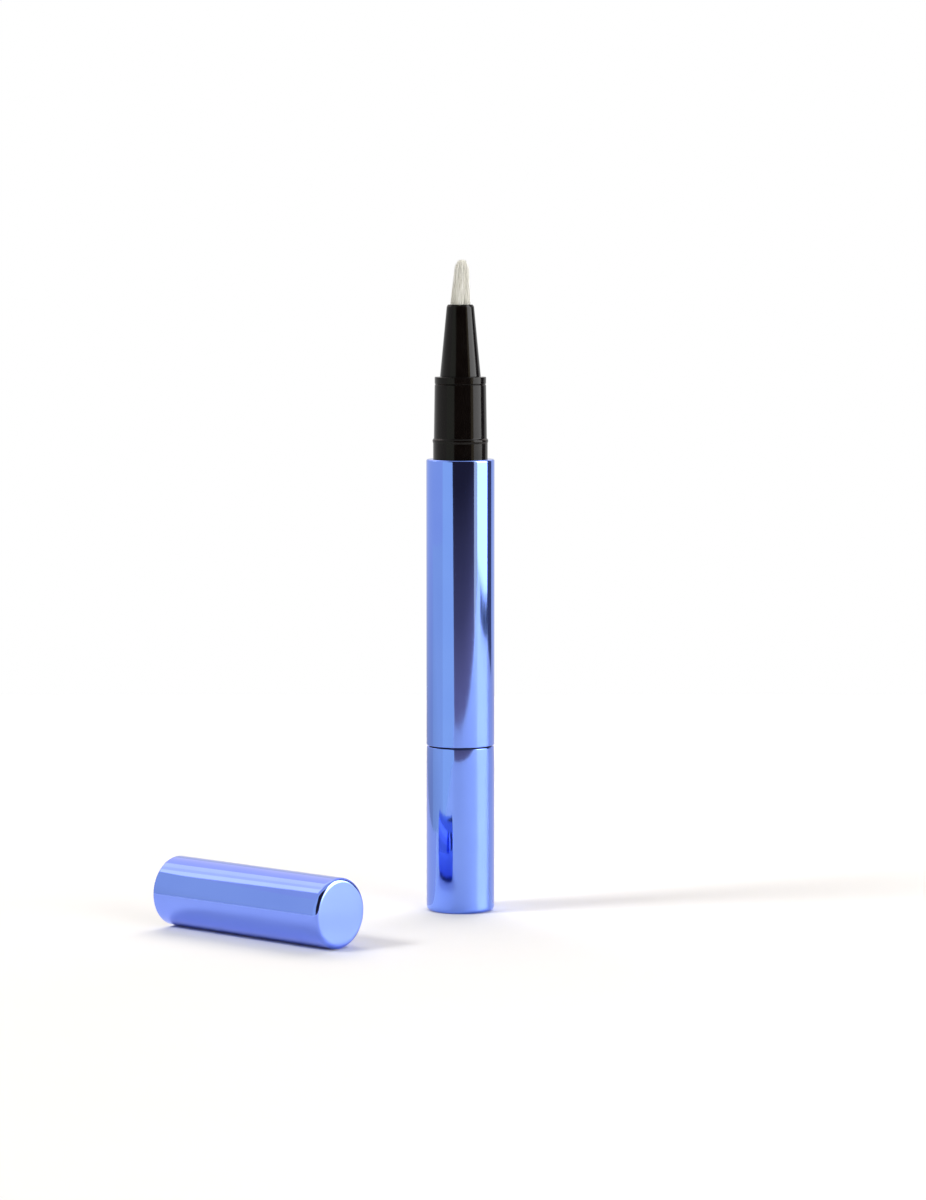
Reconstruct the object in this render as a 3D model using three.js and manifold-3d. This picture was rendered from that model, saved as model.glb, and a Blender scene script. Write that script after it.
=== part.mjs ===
// A twist-up serum pen with a brush tip. It stands on its twist base, with its cap lying beside it.
// Millimetres, +Z up. The origin is the centre of the twist base's foot, and X runs along the lying cap.
// Turning the base turns a flat-sided screw through a fixed nut, which drives a piston up the reservoir.
import * as THREE from "three";
import { mergeVertices } from "three/addons/utils/BufferGeometryUtils.js";
import Module from "manifold-3d";

const wasm = await Module();
wasm.setup();

// Metal shells
const PEN_DIAMETER = 12.5;
const SHELL_WALL = 0.5;
const SHELL_END = 0.6;
const END_ROUND = 0.8;
const SHOULDER_ROUND = 0.35;
const KNOB_HEIGHT = 30.4;
const TURN_GAP = 0.25;
const BARREL_LENGTH = 52.5;
const CAP_LENGTH = 40;

// Clearances
const PRESS_GAP = 0.06;
const RUN_GAP = 0.14;
const SEAT_GAP = 0.05;

// Neck that the cap snaps onto
const COLLAR_DIAMETER = 10;
const COLLAR_HEIGHT = 2.9;
const BEAD_PROUD = 0.1;
const BEAD_HEIGHT = 0.9;
const NECK_FOOT_DIAMETER = 9.72;
const NECK_TOP_DIAMETER = 9.42;
const NECK_HEIGHT = 15;
const NECK_LIP_HEIGHT = 1.35;
const NECK_LIP_GROOVE = 0.14;
const NECK_TOP_ROUND = 0.12;
const NECK_FLANGE = 1.2;
const NECK_SKIRT = 4.9;
const NECK_CHANNEL_DIAMETER = 4.4;

// Seal between the neck and the reservoir
const SEAL_WIRE = 0.92;
const SEAL_GROOVE_WIDTH = 1.3;

// Nozzle and brush
const NOZZLE_FOOT_DIAMETER = 7.46;
const NOZZLE_TIP_DIAMETER = 5.01;
const NOZZLE_HEIGHT = 13.1;
const NOZZLE_CHAMFER = 0.4;
const NOZZLE_FACE_DIAMETER = 4.56;
const NOZZLE_STEM_DIAMETER = 6.8;
const NOZZLE_STEM = 10.2;
const NOZZLE_MOUTH_DIAMETER = 3.96;
const NOZZLE_MOUTH = 2.6;
const FERRULE_DIAMETER = 4.4;
const FERRULE_WALL = 0.25;
const FERRULE_SKIRT = 2.8;
const FERRULE_WEB = 1.4;
const FERRULE_RIM = 1.3;
const FEED_TUBE_DIAMETER = 1;
const FEED_TUBE_BORE = 0.6;
const FEED_TUBE_BELOW_WEB = 4.5;
const FEED_TUBE_ABOVE_WEB = 5.8;
const BRUSH_OUT = 8.4;
const BRUSH_BACKING = 1;
const BRISTLE_RINGS = 7;
const BRISTLES_PER_RING = 44;
const BRISTLE_FILL = 0.66;
const BRISTLE_TAPER = 0.45;
const BRISTLE_LEAN = 0.03;
const BRUSH_SHOULDER_DROP = 1.3;
const BRUSH_DOME_POWER = 5;

// Reservoir and piston
const RESERVOIR_WALL = 0.7;
const PISTON_LENGTH = 5.5;
const PISTON_WAIST_DIAMETER = 8.8;
const PISTON_LIP = 0.7;
const PISTON_CROWN = 1.1;
const PISTON_CROWN_DIAMETER = 6;
const PISTON_START = 0.5;

// Screw, nut and the flats that turn the screw
const SCREW_DIAMETER = 5;
const SCREW_ROOT_DIAMETER = 4;
const SCREW_LEAD = 2;
const SCREW_FLATS = 3.2;
const SCREW_RIDGE_FOOT = 1;
const SCREW_RIDGE_CREST = 0.4;
const SCREW_HEAD_DIAMETER = 3.6;
const SCREW_HEAD_HEIGHT = 1.2;
const SCREW_HEAD_NECK_DIAMETER = 2.6;
const SCREW_HEAD_NECK = 1.4;
const SCREW_FOOT_CLEARANCE = 0.6;
const THREAD_GAP = 0.2;
const NUT_FLANGE = 2;
const NUT_BOSS = 2;
const NUT_THREAD_INSET = 0.7;

// Base core with its drive tube
const DRIVE_TUBE_DIAMETER = 7.4;
const DRIVE_TUBE_TOP_CLEARANCE = 0.4;
const DRIVE_KEY_LENGTH = 8;
const CORE_FOOT = 1.5;
const CORE_SLEEVE = 11;
const CORE_SLEEVE_WALL = 0.85;
const CORE_FLOOR = 2;
const SPLINE_WIDTH = 1.2;
const SPLINE_PROUD = 0.5;

// Bush in the barrel's foot, the ratchet and the ring that keeps the base on
const BUSH_LENGTH = 5.75;
const BUSH_SPIGOT = 1.4;
const BUSH_SHELF = 3.6;
const RATCHET_TEETH = 16;
const RATCHET_RISE = 0.7;
const RATCHET_GAP = 0.12;
const CROWN_THICKNESS = 1.6;
const SPRING_WIRE = 0.45;
const SPRING_TURNS = 4;
const SNAP_RING_THICKNESS = 0.6;
const SNAP_RING_WIDTH = 0.9;
const SNAP_RING_GROOVE = 0.4;
const SNAP_RING_OPENING = 70;

// Cap lining
const LINER_INSET = 0.3;
const LINER_SLIDE = 0.04;
const LINER_END = 1;
const LINER_BORE_DIAMETER = 7.9;
const LINER_WALL = 0.8;
const LINER_FLANGE = 1.8;
const LINER_STEP = 1.3;
const GASKET_THICKNESS = 0.8;
const GASKET_BORE_DIAMETER = 8;

// Where the cap lies
const CAP_MOUTH_X = -27.2;
const CAP_AXIS_Y = -46.3;

// Facets, and how far cutters pass what they cut
const FINE_SIDES = 36;
const PLAIN_SIDES = 24;
const SMALL_SIDES = 16;
const ROUND_STEPS = 3;
const THREAD_STEPS = 12;
const WIRE_SIDES = 5;
const SEAL_SIDES = 7;
const CUT_PAST = 1;
const MERGE_DISTANCE = 1e-4;

// Radii that several pieces share
const shellRadius = PEN_DIAMETER / 2;
const shellBore = shellRadius - SHELL_WALL;
const insertRadius = shellBore - PRESS_GAP;
const reservoirBore = insertRadius - RESERVOIR_WALL;
const collarRadius = COLLAR_DIAMETER / 2;
const beadRadius = collarRadius + BEAD_PROUD;
const screwRadius = SCREW_DIAMETER / 2;
const screwRoot = SCREW_ROOT_DIAMETER / 2;
const screwClear = screwRadius + RUN_GAP;
const driveRadius = DRIVE_TUBE_DIAMETER / 2;
const driveClear = driveRadius + RUN_GAP;
const sleeveBore = insertRadius - CORE_SLEEVE_WALL;
const spigotRadius = sleeveBore - RUN_GAP;

// Heights up the pen
const barrelFoot = KNOB_HEIGHT + TURN_GAP;
const shoulder = barrelFoot + BARREL_LENGTH;
const neckTop = shoulder + NECK_HEIGHT;
const neckFlangeTop = shoulder - SHELL_END - SEAT_GAP;
const neckFlangeFoot = neckFlangeTop - NECK_FLANGE;
const neckFoot = neckFlangeFoot - NECK_SKIRT;
const nozzleFoot = neckTop + SEAT_GAP;
const nozzleTip = nozzleFoot + NOZZLE_HEIGHT;
const ferruleTop = nozzleTip - NOZZLE_MOUTH - SEAT_GAP;
const webTop = ferruleTop - FERRULE_RIM;
const bushTop = barrelFoot + BUSH_LENGTH;
const nutFoot = bushTop + SEAT_GAP;
const nutTop = nutFoot + NUT_FLANGE + NUT_BOSS;
const pistonFoot = nutTop + PISTON_START;
const coreFoot = SHELL_END + SEAT_GAP;
const coreFloorTop = KNOB_HEIGHT - SEAT_GAP - CORE_SLEEVE + CORE_FLOOR;
const driveTop = bushTop - DRIVE_TUBE_TOP_CLEARANCE;
const bushToothFoot = barrelFoot - BUSH_SPIGOT;
const crownTop = bushToothFoot - RATCHET_RISE - RATCHET_GAP - RATCHET_RISE;
const crownFoot = crownTop - CROWN_THICKNESS;
const snapRingFoot = barrelFoot + BUSH_SHELF + SEAT_GAP;

// Finishes
const FINISHES = {
  blueMetal: { color: 0x6f8cf0, roughness: 0.16, metalness: 1 },
  blackPlastic: { color: 0x14110f, roughness: 0.3, metalness: 0 },
  clearPlastic: { color: 0xe6ecf0, roughness: 0.25, metalness: 0 },
  whitePlastic: { color: 0xe9e7e0, roughness: 0.45, metalness: 0 },
  greyPlastic: { color: 0x8b9096, roughness: 0.5, metalness: 0 },
  rubber: { color: 0x2a2a2c, roughness: 0.8, metalness: 0 },
  steel: { color: 0xc2c5c8, roughness: 0.3, metalness: 1 },
  bristle: { color: 0xe9e8de, roughness: 0.55, metalness: 0 },
};

// A named mesh with a material of its own, standing at a height on its group's axis.
function piece(name, geometry, finish, height = 0) {
  const mesh = new THREE.Mesh(geometry, new THREE.MeshStandardMaterial(FINISHES[finish]));
  mesh.name = name;
  mesh.position.z = height;
  return mesh;
}

// Points of an arc in the radius and height plane, from one angle to another in degrees.
function arc(radius, height, round, from, to, steps = ROUND_STEPS) {
  return Array.from({ length: steps + 1 }, (_, i) => {
    const angle = THREE.MathUtils.degToRad(from + ((to - from) * i) / steps);
    return [radius + round * Math.cos(angle), height + round * Math.sin(angle)];
  });
}

// A loop of [radius, height] points turned about Z. A loop that meets the axis starts and ends there.
function turned(loop, sides = PLAIN_SIDES) {
  const area = loop.reduce((sum, [r, z], i) => {
    const [nextR, nextZ] = loop[(i + 1) % loop.length];
    return sum + r * nextZ - nextR * z;
  }, 0);
  const ordered = area > 0 ? loop : [...loop].reverse();
  const meetsAxis = ordered[0][0] === 0;
  const points = (meetsAxis ? ordered : [...ordered, ordered[0]]).map(([r, z]) => new THREE.Vector2(r, z));
  return new THREE.LatheGeometry(points, sides).rotateX(Math.PI / 2);
}

// A plain ring between two radii and two heights.
function ring(inner, outer, foot, top, sides = PLAIN_SIDES) {
  return turned([[inner, foot], [outer, foot], [outer, top], [inner, top]], sides);
}

// A box centred on the axis, between two heights.
function block(width, depth, foot, top) {
  return new THREE.BoxGeometry(width, depth, top - foot).translate(0, 0, (foot + top) / 2);
}

// A closed geometry from a list of corner points and a list of triangles.
function faceted(corners, triangles) {
  const geometry = new THREE.BufferGeometry();
  geometry.setAttribute("position", new THREE.Float32BufferAttribute(corners.flat(), 3));
  return geometry.setIndex(triangles.flat());
}

// A geometry as a solid that can be joined and cut.
function solid(geometry) {
  const bare = geometry.clone();
  bare.deleteAttribute("normal");
  bare.deleteAttribute("uv");
  const merged = mergeVertices(bare, MERGE_DISTANCE);
  const vertProperties = merged.attributes.position.array;
  const triVerts = new Uint32Array(merged.index.array);
  return new wasm.Manifold(new wasm.Mesh({ numProp: 3, vertProperties, triVerts }));
}

// A solid back as a geometry.
function geometryOf(made) {
  const { vertProperties, triVerts } = made.getMesh();
  const geometry = new THREE.BufferGeometry();
  geometry.setAttribute("position", new THREE.BufferAttribute(vertProperties, 3));
  return geometry.setIndex(new THREE.BufferAttribute(triVerts, 1));
}

// Closed strip through equal cross sections, each a list of corners clockwise as the strip leads away.
function swept(sections) {
  const count = sections[0].length;
  const triangles = [];
  for (let s = 0; s + 1 < sections.length; s++) {
    for (let c = 0; c < count; c++) {
      const a = s * count + c;
      const b = s * count + ((c + 1) % count);
      triangles.push([a, b, a + count], [b, b + count, a + count]);
    }
  }
  const last = (sections.length - 1) * count;
  for (let c = 1; c + 1 < count; c++) {
    triangles.push([0, c + 1, c], [last, last + c, last + c + 1]);
  }
  return faceted(sections.flat(), triangles);
}

// A right-handed screw ridge between two heights. The profile lists [radius, height] corners of one section,
// up its inner side and down its outer. The lag lifts a nut's ridge to run between the screw's turns.
function ridge(profile, foot, top, lag) {
  const first = Math.ceil(((foot - lag) / SCREW_LEAD) * THREAD_STEPS);
  const last = Math.floor(((top - lag) / SCREW_LEAD) * THREAD_STEPS);
  const sections = [];
  for (let i = first; i <= last; i++) {
    const angle = (2 * Math.PI * i) / THREAD_STEPS;
    const rise = lag + (SCREW_LEAD * i) / THREAD_STEPS;
    sections.push(profile.map(([r, z]) => [r * Math.cos(angle), r * Math.sin(angle), z + rise]));
  }
  return swept(sections);
}

// A ring whose upper face carries one-way teeth: each ramp falls anticlockwise from its upright face.
function toothedRing(inner, outer, thickness) {
  const corners = [];
  const triangles = [];
  for (let i = 0; i < RATCHET_TEETH; i++) {
    const angle = (2 * Math.PI * i) / RATCHET_TEETH;
    for (const radius of [inner, outer]) {
      for (const height of [0, thickness, thickness + RATCHET_RISE]) {
        corners.push([radius * Math.cos(angle), radius * Math.sin(angle), height]);
      }
    }
  }
  const at = (tooth, side, level) => (tooth % RATCHET_TEETH) * 6 + side * 3 + level;
  for (let i = 0; i < RATCHET_TEETH; i++) {
    const [inFoot, inLow, inHigh] = [0, 1, 2].map((level) => at(i, 0, level));
    const [outFoot, outLow, outHigh] = [0, 1, 2].map((level) => at(i, 1, level));
    const [inFootNext, inLowNext] = [0, 1].map((level) => at(i + 1, 0, level));
    const [outFootNext, outLowNext] = [0, 1].map((level) => at(i + 1, 1, level));
    triangles.push([inFoot, inFootNext, outFootNext], [inFoot, outFootNext, outFoot]);
    triangles.push([outFoot, outFootNext, outLowNext], [outFoot, outLowNext, outLow]);
    triangles.push([outLow, outLowNext, outHigh]);
    triangles.push([inFoot, inLowNext, inFootNext], [inFoot, inLow, inLowNext]);
    triangles.push([inLow, inHigh, inLowNext]);
    triangles.push([inHigh, outHigh, outLowNext], [inHigh, outLowNext, inLowNext]);
    triangles.push([inLow, outLow, outHigh], [inLow, outHigh, inHigh]);
  }
  return faceted(corners, triangles);
}

// Drawn metal cup: a closed end with a rounded rim at height 0, open at the top.
function drawnCup(length) {
  return turned(
    [
      [0, 0],
      ...arc(shellRadius - END_ROUND, END_ROUND, END_ROUND, -90, 0),
      [shellRadius, length],
      [shellBore, length],
      [shellBore, SHELL_END],
      [0, SHELL_END],
    ],
    FINE_SIDES,
  );
}

// Metal barrel sleeve, turned in at the top to a shoulder round the neck.
function barrelShell() {
  const length = BARREL_LENGTH;
  return turned(
    [
      [shellBore, 0],
      [shellRadius, 0],
      ...arc(shellRadius - SHOULDER_ROUND, length - SHOULDER_ROUND, SHOULDER_ROUND, 0, 90),
      [collarRadius + PRESS_GAP, length],
      [collarRadius + PRESS_GAP, length - SHELL_END],
      [shellBore, length - SHELL_END],
    ],
    FINE_SIDES,
  );
}

// Clear tube that holds the serum, from the nut's flange up to the neck's flange.
function reservoirTube() {
  const foot = nutFoot + NUT_FLANGE + SEAT_GAP;
  return ring(reservoirBore, insertRadius, foot, neckFlangeFoot - SEAT_GAP);
}

// Black neck: a sealed skirt in the reservoir, a flange under the shoulder and the seat for the cap.
function neckCollar() {
  const skirt = reservoirBore - PRESS_GAP;
  const grooveFloor = reservoirBore - SEAL_WIRE - 2 * SEAT_GAP;
  const grooveFoot = neckFoot + (NECK_SKIRT - SEAL_GROOVE_WIDTH) / 2;
  const stemBore = NOZZLE_STEM_DIAMETER / 2 + PRESS_GAP;
  const stemSeat = nozzleFoot - NOZZLE_STEM - SEAT_GAP;
  const channel = NECK_CHANNEL_DIAMETER / 2;
  const beadFoot = shoulder + COLLAR_HEIGHT;
  const lipFoot = neckTop - NECK_LIP_HEIGHT;
  const upper = NECK_TOP_DIAMETER / 2;
  return turned(
    [
      [channel, neckFoot],
      [skirt, neckFoot],
      [skirt, grooveFoot],
      [grooveFloor, grooveFoot],
      [grooveFloor, grooveFoot + SEAL_GROOVE_WIDTH],
      [skirt, grooveFoot + SEAL_GROOVE_WIDTH],
      [skirt, neckFlangeFoot],
      [insertRadius, neckFlangeFoot],
      [insertRadius, neckFlangeTop],
      [collarRadius, neckFlangeTop],
      [collarRadius, beadFoot],
      [beadRadius, beadFoot + BEAD_HEIGHT / 3],
      [beadRadius, beadFoot + (2 * BEAD_HEIGHT) / 3],
      [NECK_FOOT_DIAMETER / 2, beadFoot + BEAD_HEIGHT],
      [upper, lipFoot - NECK_LIP_GROOVE],
      [upper - NECK_LIP_GROOVE, lipFoot],
      [upper, lipFoot + NECK_LIP_GROOVE],
      [upper, neckTop - NECK_TOP_ROUND],
      [upper - NECK_TOP_ROUND, neckTop],
      [stemBore, neckTop],
      [stemBore, stemSeat],
      [channel, stemSeat],
    ],
    FINE_SIDES,
  );
}

// Rubber ring in the groove of the neck's skirt.
function neckSeal() {
  const wire = SEAL_WIRE / 2;
  const centre = reservoirBore - SEAT_GAP - wire;
  const height = neckFoot + NECK_SKIRT / 2;
  return turned(arc(centre, height, wire, 0, 360 - 360 / SEAL_SIDES, SEAL_SIDES - 1));
}

// Black cone with a stem that plugs into the neck, and a mouth that the brush comes out of.
function nozzle() {
  const bore = FERRULE_DIAMETER / 2 + PRESS_GAP;
  const mouth = NOZZLE_MOUTH_DIAMETER / 2;
  return turned(
    [
      [bore, nozzleFoot - NOZZLE_STEM],
      [NOZZLE_STEM_DIAMETER / 2, nozzleFoot - NOZZLE_STEM],
      [NOZZLE_STEM_DIAMETER / 2, nozzleFoot],
      [NOZZLE_FOOT_DIAMETER / 2, nozzleFoot],
      [NOZZLE_TIP_DIAMETER / 2, nozzleTip - NOZZLE_CHAMFER],
      [NOZZLE_FACE_DIAMETER / 2, nozzleTip],
      [mouth, nozzleTip],
      [mouth, nozzleTip - NOZZLE_MOUTH],
      [bore, nozzleTip - NOZZLE_MOUTH],
    ],
    FINE_SIDES,
  );
}

// Cup that grips the bristles' backing, with a web that the feed tube passes through.
function brushFerrule() {
  const outer = FERRULE_DIAMETER / 2;
  const inner = outer - FERRULE_WALL;
  const hole = FEED_TUBE_DIAMETER / 2 + PRESS_GAP;
  const webFoot = webTop - FERRULE_WEB;
  return turned([
    [hole, webFoot],
    [inner, webFoot],
    [inner, webFoot - FERRULE_SKIRT],
    [outer, webFoot - FERRULE_SKIRT],
    [outer, ferruleTop],
    [inner, ferruleTop],
    [inner, webTop],
    [hole, webTop],
  ]);
}

// Thin tube that leads serum from the neck into the middle of the bristles.
function feedTube() {
  const foot = webTop - FERRULE_WEB - FEED_TUBE_BELOW_WEB;
  return ring(FEED_TUBE_BORE / 2, FEED_TUBE_DIAMETER / 2, foot, webTop + FEED_TUBE_ABOVE_WEB, SMALL_SIDES);
}

// Rings of three-sided bristles on a backing disc. They lean in alike, so that none cross, and end in a dome.
// The disc's upper face is a grid of cells, and one bristle grows from the middle of each.
function brushBristles() {
  const outer = FERRULE_DIAMETER / 2 - FERRULE_WALL - PRESS_GAP;
  const inner = FEED_TUBE_DIAMETER / 2 + RUN_GAP;
  const foot = webTop + SEAT_GAP;
  const root = foot + BRUSH_BACKING;
  const count = BRISTLES_PER_RING;
  const step = (2 * Math.PI) / count;
  const growth = (outer / inner) ** (1 / BRISTLE_RINGS);
  const corners = [];
  const triangles = [];
  const point = (radius, angle, height) => {
    return corners.push([radius * Math.cos(angle), radius * Math.sin(angle), height]) - 1;
  };
  const circle = (radius, height) => Array.from({ length: count }, (_, k) => point(radius, k * step, height));
  const edges = Array.from({ length: BRISTLE_RINGS + 1 }, (_, i) => circle(inner * growth ** i, root));
  const footIn = circle(inner, foot);
  const footOut = circle(outer, foot);
  const bristle = (radius, angle, height, width) => {
    const out = radius * (1 - BRISTLE_LEAN * (height - root));
    const spread = (Math.sqrt(3) / 2) * (width / out);
    return [
      point(out + width, angle, height),
      point(out - width / 2, angle + spread, height),
      point(out - width / 2, angle - spread, height),
    ];
  };
  const grow = (ringIndex, k) => {
    const radius = inner * growth ** (ringIndex + 0.5);
    const angle = (k + 0.5) * step;
    const width = (BRISTLE_FILL * radius * step) / 2;
    const fall = BRUSH_SHOULDER_DROP * (radius / outer) ** BRUSH_DOME_POWER;
    const [front, left, right] = bristle(radius, angle, root, width);
    const tip = nozzleTip + BRUSH_OUT - fall;
    const [tipFront, tipLeft, tipRight] = bristle(radius, angle, tip, width * BRISTLE_TAPER);
    const next = (k + 1) % count;
    const [inRight, inLeft] = [edges[ringIndex][k], edges[ringIndex][next]];
    const [outRight, outLeft] = [edges[ringIndex + 1][k], edges[ringIndex + 1][next]];
    triangles.push([inRight, outRight, right], [outRight, front, right], [outRight, outLeft, front]);
    triangles.push([outLeft, left, front], [outLeft, inLeft, left]);
    triangles.push([inLeft, inRight, left], [inRight, right, left]);
    triangles.push([front, left, tipFront], [left, tipLeft, tipFront]);
    triangles.push([left, right, tipLeft], [right, tipRight, tipLeft]);
    triangles.push([right, front, tipRight], [front, tipFront, tipRight]);
    triangles.push([tipFront, tipLeft, tipRight]);
  };
  for (let k = 0; k < count; k++) {
    for (let i = 0; i < BRISTLE_RINGS; i++) {
      grow(i, k);
    }
    const next = (k + 1) % count;
    const [rimIn, rimInNext] = [edges[0][k], edges[0][next]];
    const [rimOut, rimOutNext] = [edges[BRISTLE_RINGS][k], edges[BRISTLE_RINGS][next]];
    triangles.push([footOut[k], footOut[next], rimOut], [footOut[next], rimOutNext, rimOut]);
    triangles.push([footIn[k], rimIn, footIn[next]], [footIn[next], rimIn, rimInNext]);
    triangles.push([footIn[k], footOut[next], footOut[k]], [footIn[k], footIn[next], footOut[next]]);
  }
  return faceted(corners, triangles);
}

// Bush pressed into the barrel's foot. Its spigot enters the base and carries the fixed ratchet teeth.
function turnBush() {
  const shelf = barrelFoot + BUSH_SHELF;
  const ringRoom = driveRadius - SNAP_RING_GROOVE + SNAP_RING_WIDTH + 2 * RUN_GAP;
  const body = turned([
    [driveClear, bushToothFoot],
    [spigotRadius, bushToothFoot],
    [spigotRadius, barrelFoot],
    [insertRadius, barrelFoot],
    [insertRadius, bushTop],
    [ringRoom, bushTop],
    [ringRoom, shelf],
    [driveClear, shelf],
  ]);
  const root = BUSH_SPIGOT / 2;
  const teeth = toothedRing(driveClear + RUN_GAP, spigotRadius - RUN_GAP, root).rotateX(Math.PI);
  return geometryOf(solid(body).add(solid(teeth.translate(0, 0, bushToothFoot + root))));
}

// Fixed nut under the reservoir, with a short inside thread.
function feedNut() {
  const body = turned([
    [0, nutFoot],
    [insertRadius, nutFoot],
    [insertRadius, nutFoot + NUT_FLANGE],
    [reservoirBore - PRESS_GAP, nutFoot + NUT_FLANGE],
    [reservoirBore - PRESS_GAP, nutTop],
    [0, nutTop],
  ]);
  const boreRadius = screwClear / Math.cos(Math.PI / THREAD_STEPS);
  const bore = ring(0, boreRadius, nutFoot - CUT_PAST, nutTop + CUT_PAST, THREAD_STEPS);
  const slope = (SCREW_RIDGE_FOOT - SCREW_RIDGE_CREST) / (screwRadius - screwRoot);
  const crest = screwRoot + THREAD_GAP;
  const buried = boreRadius + THREAD_GAP;
  const halfWidth = (r) => (SCREW_LEAD - SCREW_RIDGE_FOOT + slope * (r - screwRoot)) / 2 - THREAD_GAP;
  const profile = [
    [crest, -halfWidth(crest)],
    [crest, halfWidth(crest)],
    [buried, halfWidth(buried)],
    [buried, -halfWidth(buried)],
  ];
  const thread = ridge(profile, nutFoot + NUT_THREAD_INSET, nutTop - NUT_THREAD_INSET, SCREW_LEAD / 2);
  return geometryOf(solid(body).subtract(solid(bore)).add(solid(thread)));
}

// Screw with two long flats and a button head that snaps into the piston.
function spindle() {
  const foot = coreFoot + SCREW_FOOT_CLEARANCE;
  const top = pistonFoot;
  const rod = turned([[0, foot], [screwRoot, foot], [screwRoot, top], [0, top]], THREAD_STEPS);
  const sink = (screwRadius - screwRoot) / 2;
  const spread = (SCREW_RIDGE_FOOT - SCREW_RIDGE_CREST) / 4;
  const profile = [
    [screwRoot - sink, -SCREW_RIDGE_FOOT / 2 - spread],
    [screwRoot - sink, SCREW_RIDGE_FOOT / 2 + spread],
    [screwRadius, SCREW_RIDGE_CREST / 2],
    [screwRadius, -SCREW_RIDGE_CREST / 2],
  ];
  const thread = ridge(profile, foot + SCREW_RIDGE_FOOT, top - SCREW_RIDGE_FOOT, 0);
  const flats = solid(block(SCREW_FLATS, SCREW_DIAMETER + CUT_PAST, foot - CUT_PAST, top + CUT_PAST));
  const neck = SCREW_HEAD_NECK_DIAMETER / 2;
  const head = SCREW_HEAD_DIAMETER / 2;
  const headFoot = top + SCREW_HEAD_NECK;
  const button = turned([
    [0, top - SCREW_HEAD_NECK],
    [neck, top - SCREW_HEAD_NECK],
    [neck, headFoot],
    [head, headFoot],
    [head, headFoot + SCREW_HEAD_HEIGHT / 2],
    [neck, headFoot + SCREW_HEAD_HEIGHT],
    [0, headFoot + SCREW_HEAD_HEIGHT],
  ]);
  return geometryOf(solid(rod).add(solid(thread)).intersect(flats).add(solid(button)));
}

// Piston with a wiping lip at each end and a socket for the screw's head.
function piston() {
  const lip = reservoirBore - SEAT_GAP;
  const waist = PISTON_WAIST_DIAMETER / 2;
  const top = pistonFoot + PISTON_LENGTH;
  const edge = top - PISTON_CROWN;
  const collar = SCREW_HEAD_NECK_DIAMETER / 2 + RUN_GAP;
  const socket = SCREW_HEAD_DIAMETER / 2 + RUN_GAP;
  const socketFoot = pistonFoot + SCREW_HEAD_NECK - RUN_GAP;
  const socketTop = pistonFoot + SCREW_HEAD_NECK + SCREW_HEAD_HEIGHT + RUN_GAP;
  return turned([
    [0, socketTop],
    [socket, socketTop],
    [socket, socketFoot],
    [collar, socketFoot],
    [collar, pistonFoot],
    [lip, pistonFoot],
    [lip, pistonFoot + PISTON_LIP],
    [waist, pistonFoot + 2 * PISTON_LIP],
    [waist, edge - 2 * PISTON_LIP],
    [lip, edge - PISTON_LIP],
    [lip, edge],
    [PISTON_CROWN_DIAMETER / 2, top],
    [0, top],
  ]);
}

// Core pressed into the base shell: a foot, a sleeve round the spigot and the tube that turns the screw.
function knobCore() {
  const sleeveTop = KNOB_HEIGHT - SEAT_GAP;
  const grooveFoot = snapRingFoot - SEAT_GAP;
  const grooveTop = snapRingFoot + SNAP_RING_THICKNESS + SEAT_GAP;
  const grooveFloor = driveRadius - SNAP_RING_GROOVE;
  const body = turned([
    [screwClear, coreFoot],
    [insertRadius, coreFoot],
    [insertRadius, coreFoot + CORE_FOOT],
    [driveRadius, coreFoot + CORE_FOOT],
    [driveRadius, coreFloorTop - CORE_FLOOR],
    [insertRadius, coreFloorTop - CORE_FLOOR],
    [insertRadius, sleeveTop],
    [sleeveBore, sleeveTop],
    [sleeveBore, coreFloorTop],
    [driveRadius, coreFloorTop],
    [driveRadius, grooveFoot],
    [grooveFloor, grooveFoot],
    [grooveFloor, grooveTop],
    [driveRadius, grooveTop],
    [driveRadius, driveTop],
    [screwClear, driveTop],
  ]);
  const keyFoot = driveTop - DRIVE_KEY_LENGTH;
  const plugRadius = (screwClear + grooveFloor) / 2;
  const plug = solid(turned([[0, keyFoot], [plugRadius, keyFoot], [plugRadius, driveTop], [0, driveTop]]));
  const slotWidth = SCREW_FLATS + 2 * RUN_GAP;
  const slot = solid(block(slotWidth, 2 * screwClear, keyFoot - CUT_PAST, driveTop + CUT_PAST));
  const keys = plug.subtract(slot);
  const splineReach = 2 * (driveRadius + SPLINE_PROUD);
  const bar = solid(block(splineReach, SPLINE_WIDTH, crownFoot, crownTop));
  const splines = bar.subtract(solid(ring(0, grooveFloor, crownFoot - CUT_PAST, crownTop + CUT_PAST)));
  return geometryOf(solid(body).add(keys).add(splines));
}

// Ratchet crown that slides on the drive tube's splines under the fixed teeth, drawn at the top of a click.
function ratchetCrown() {
  const crown = solid(toothedRing(driveClear, spigotRadius, CROWN_THICKNESS).translate(0, 0, crownFoot));
  const reach = 2 * (driveRadius + SPLINE_PROUD + RUN_GAP);
  const width = SPLINE_WIDTH + 2 * RUN_GAP;
  const notch = solid(block(reach, width, crownFoot - CUT_PAST, crownTop + RATCHET_RISE + CUT_PAST));
  return geometryOf(crown.subtract(notch));
}

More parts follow.
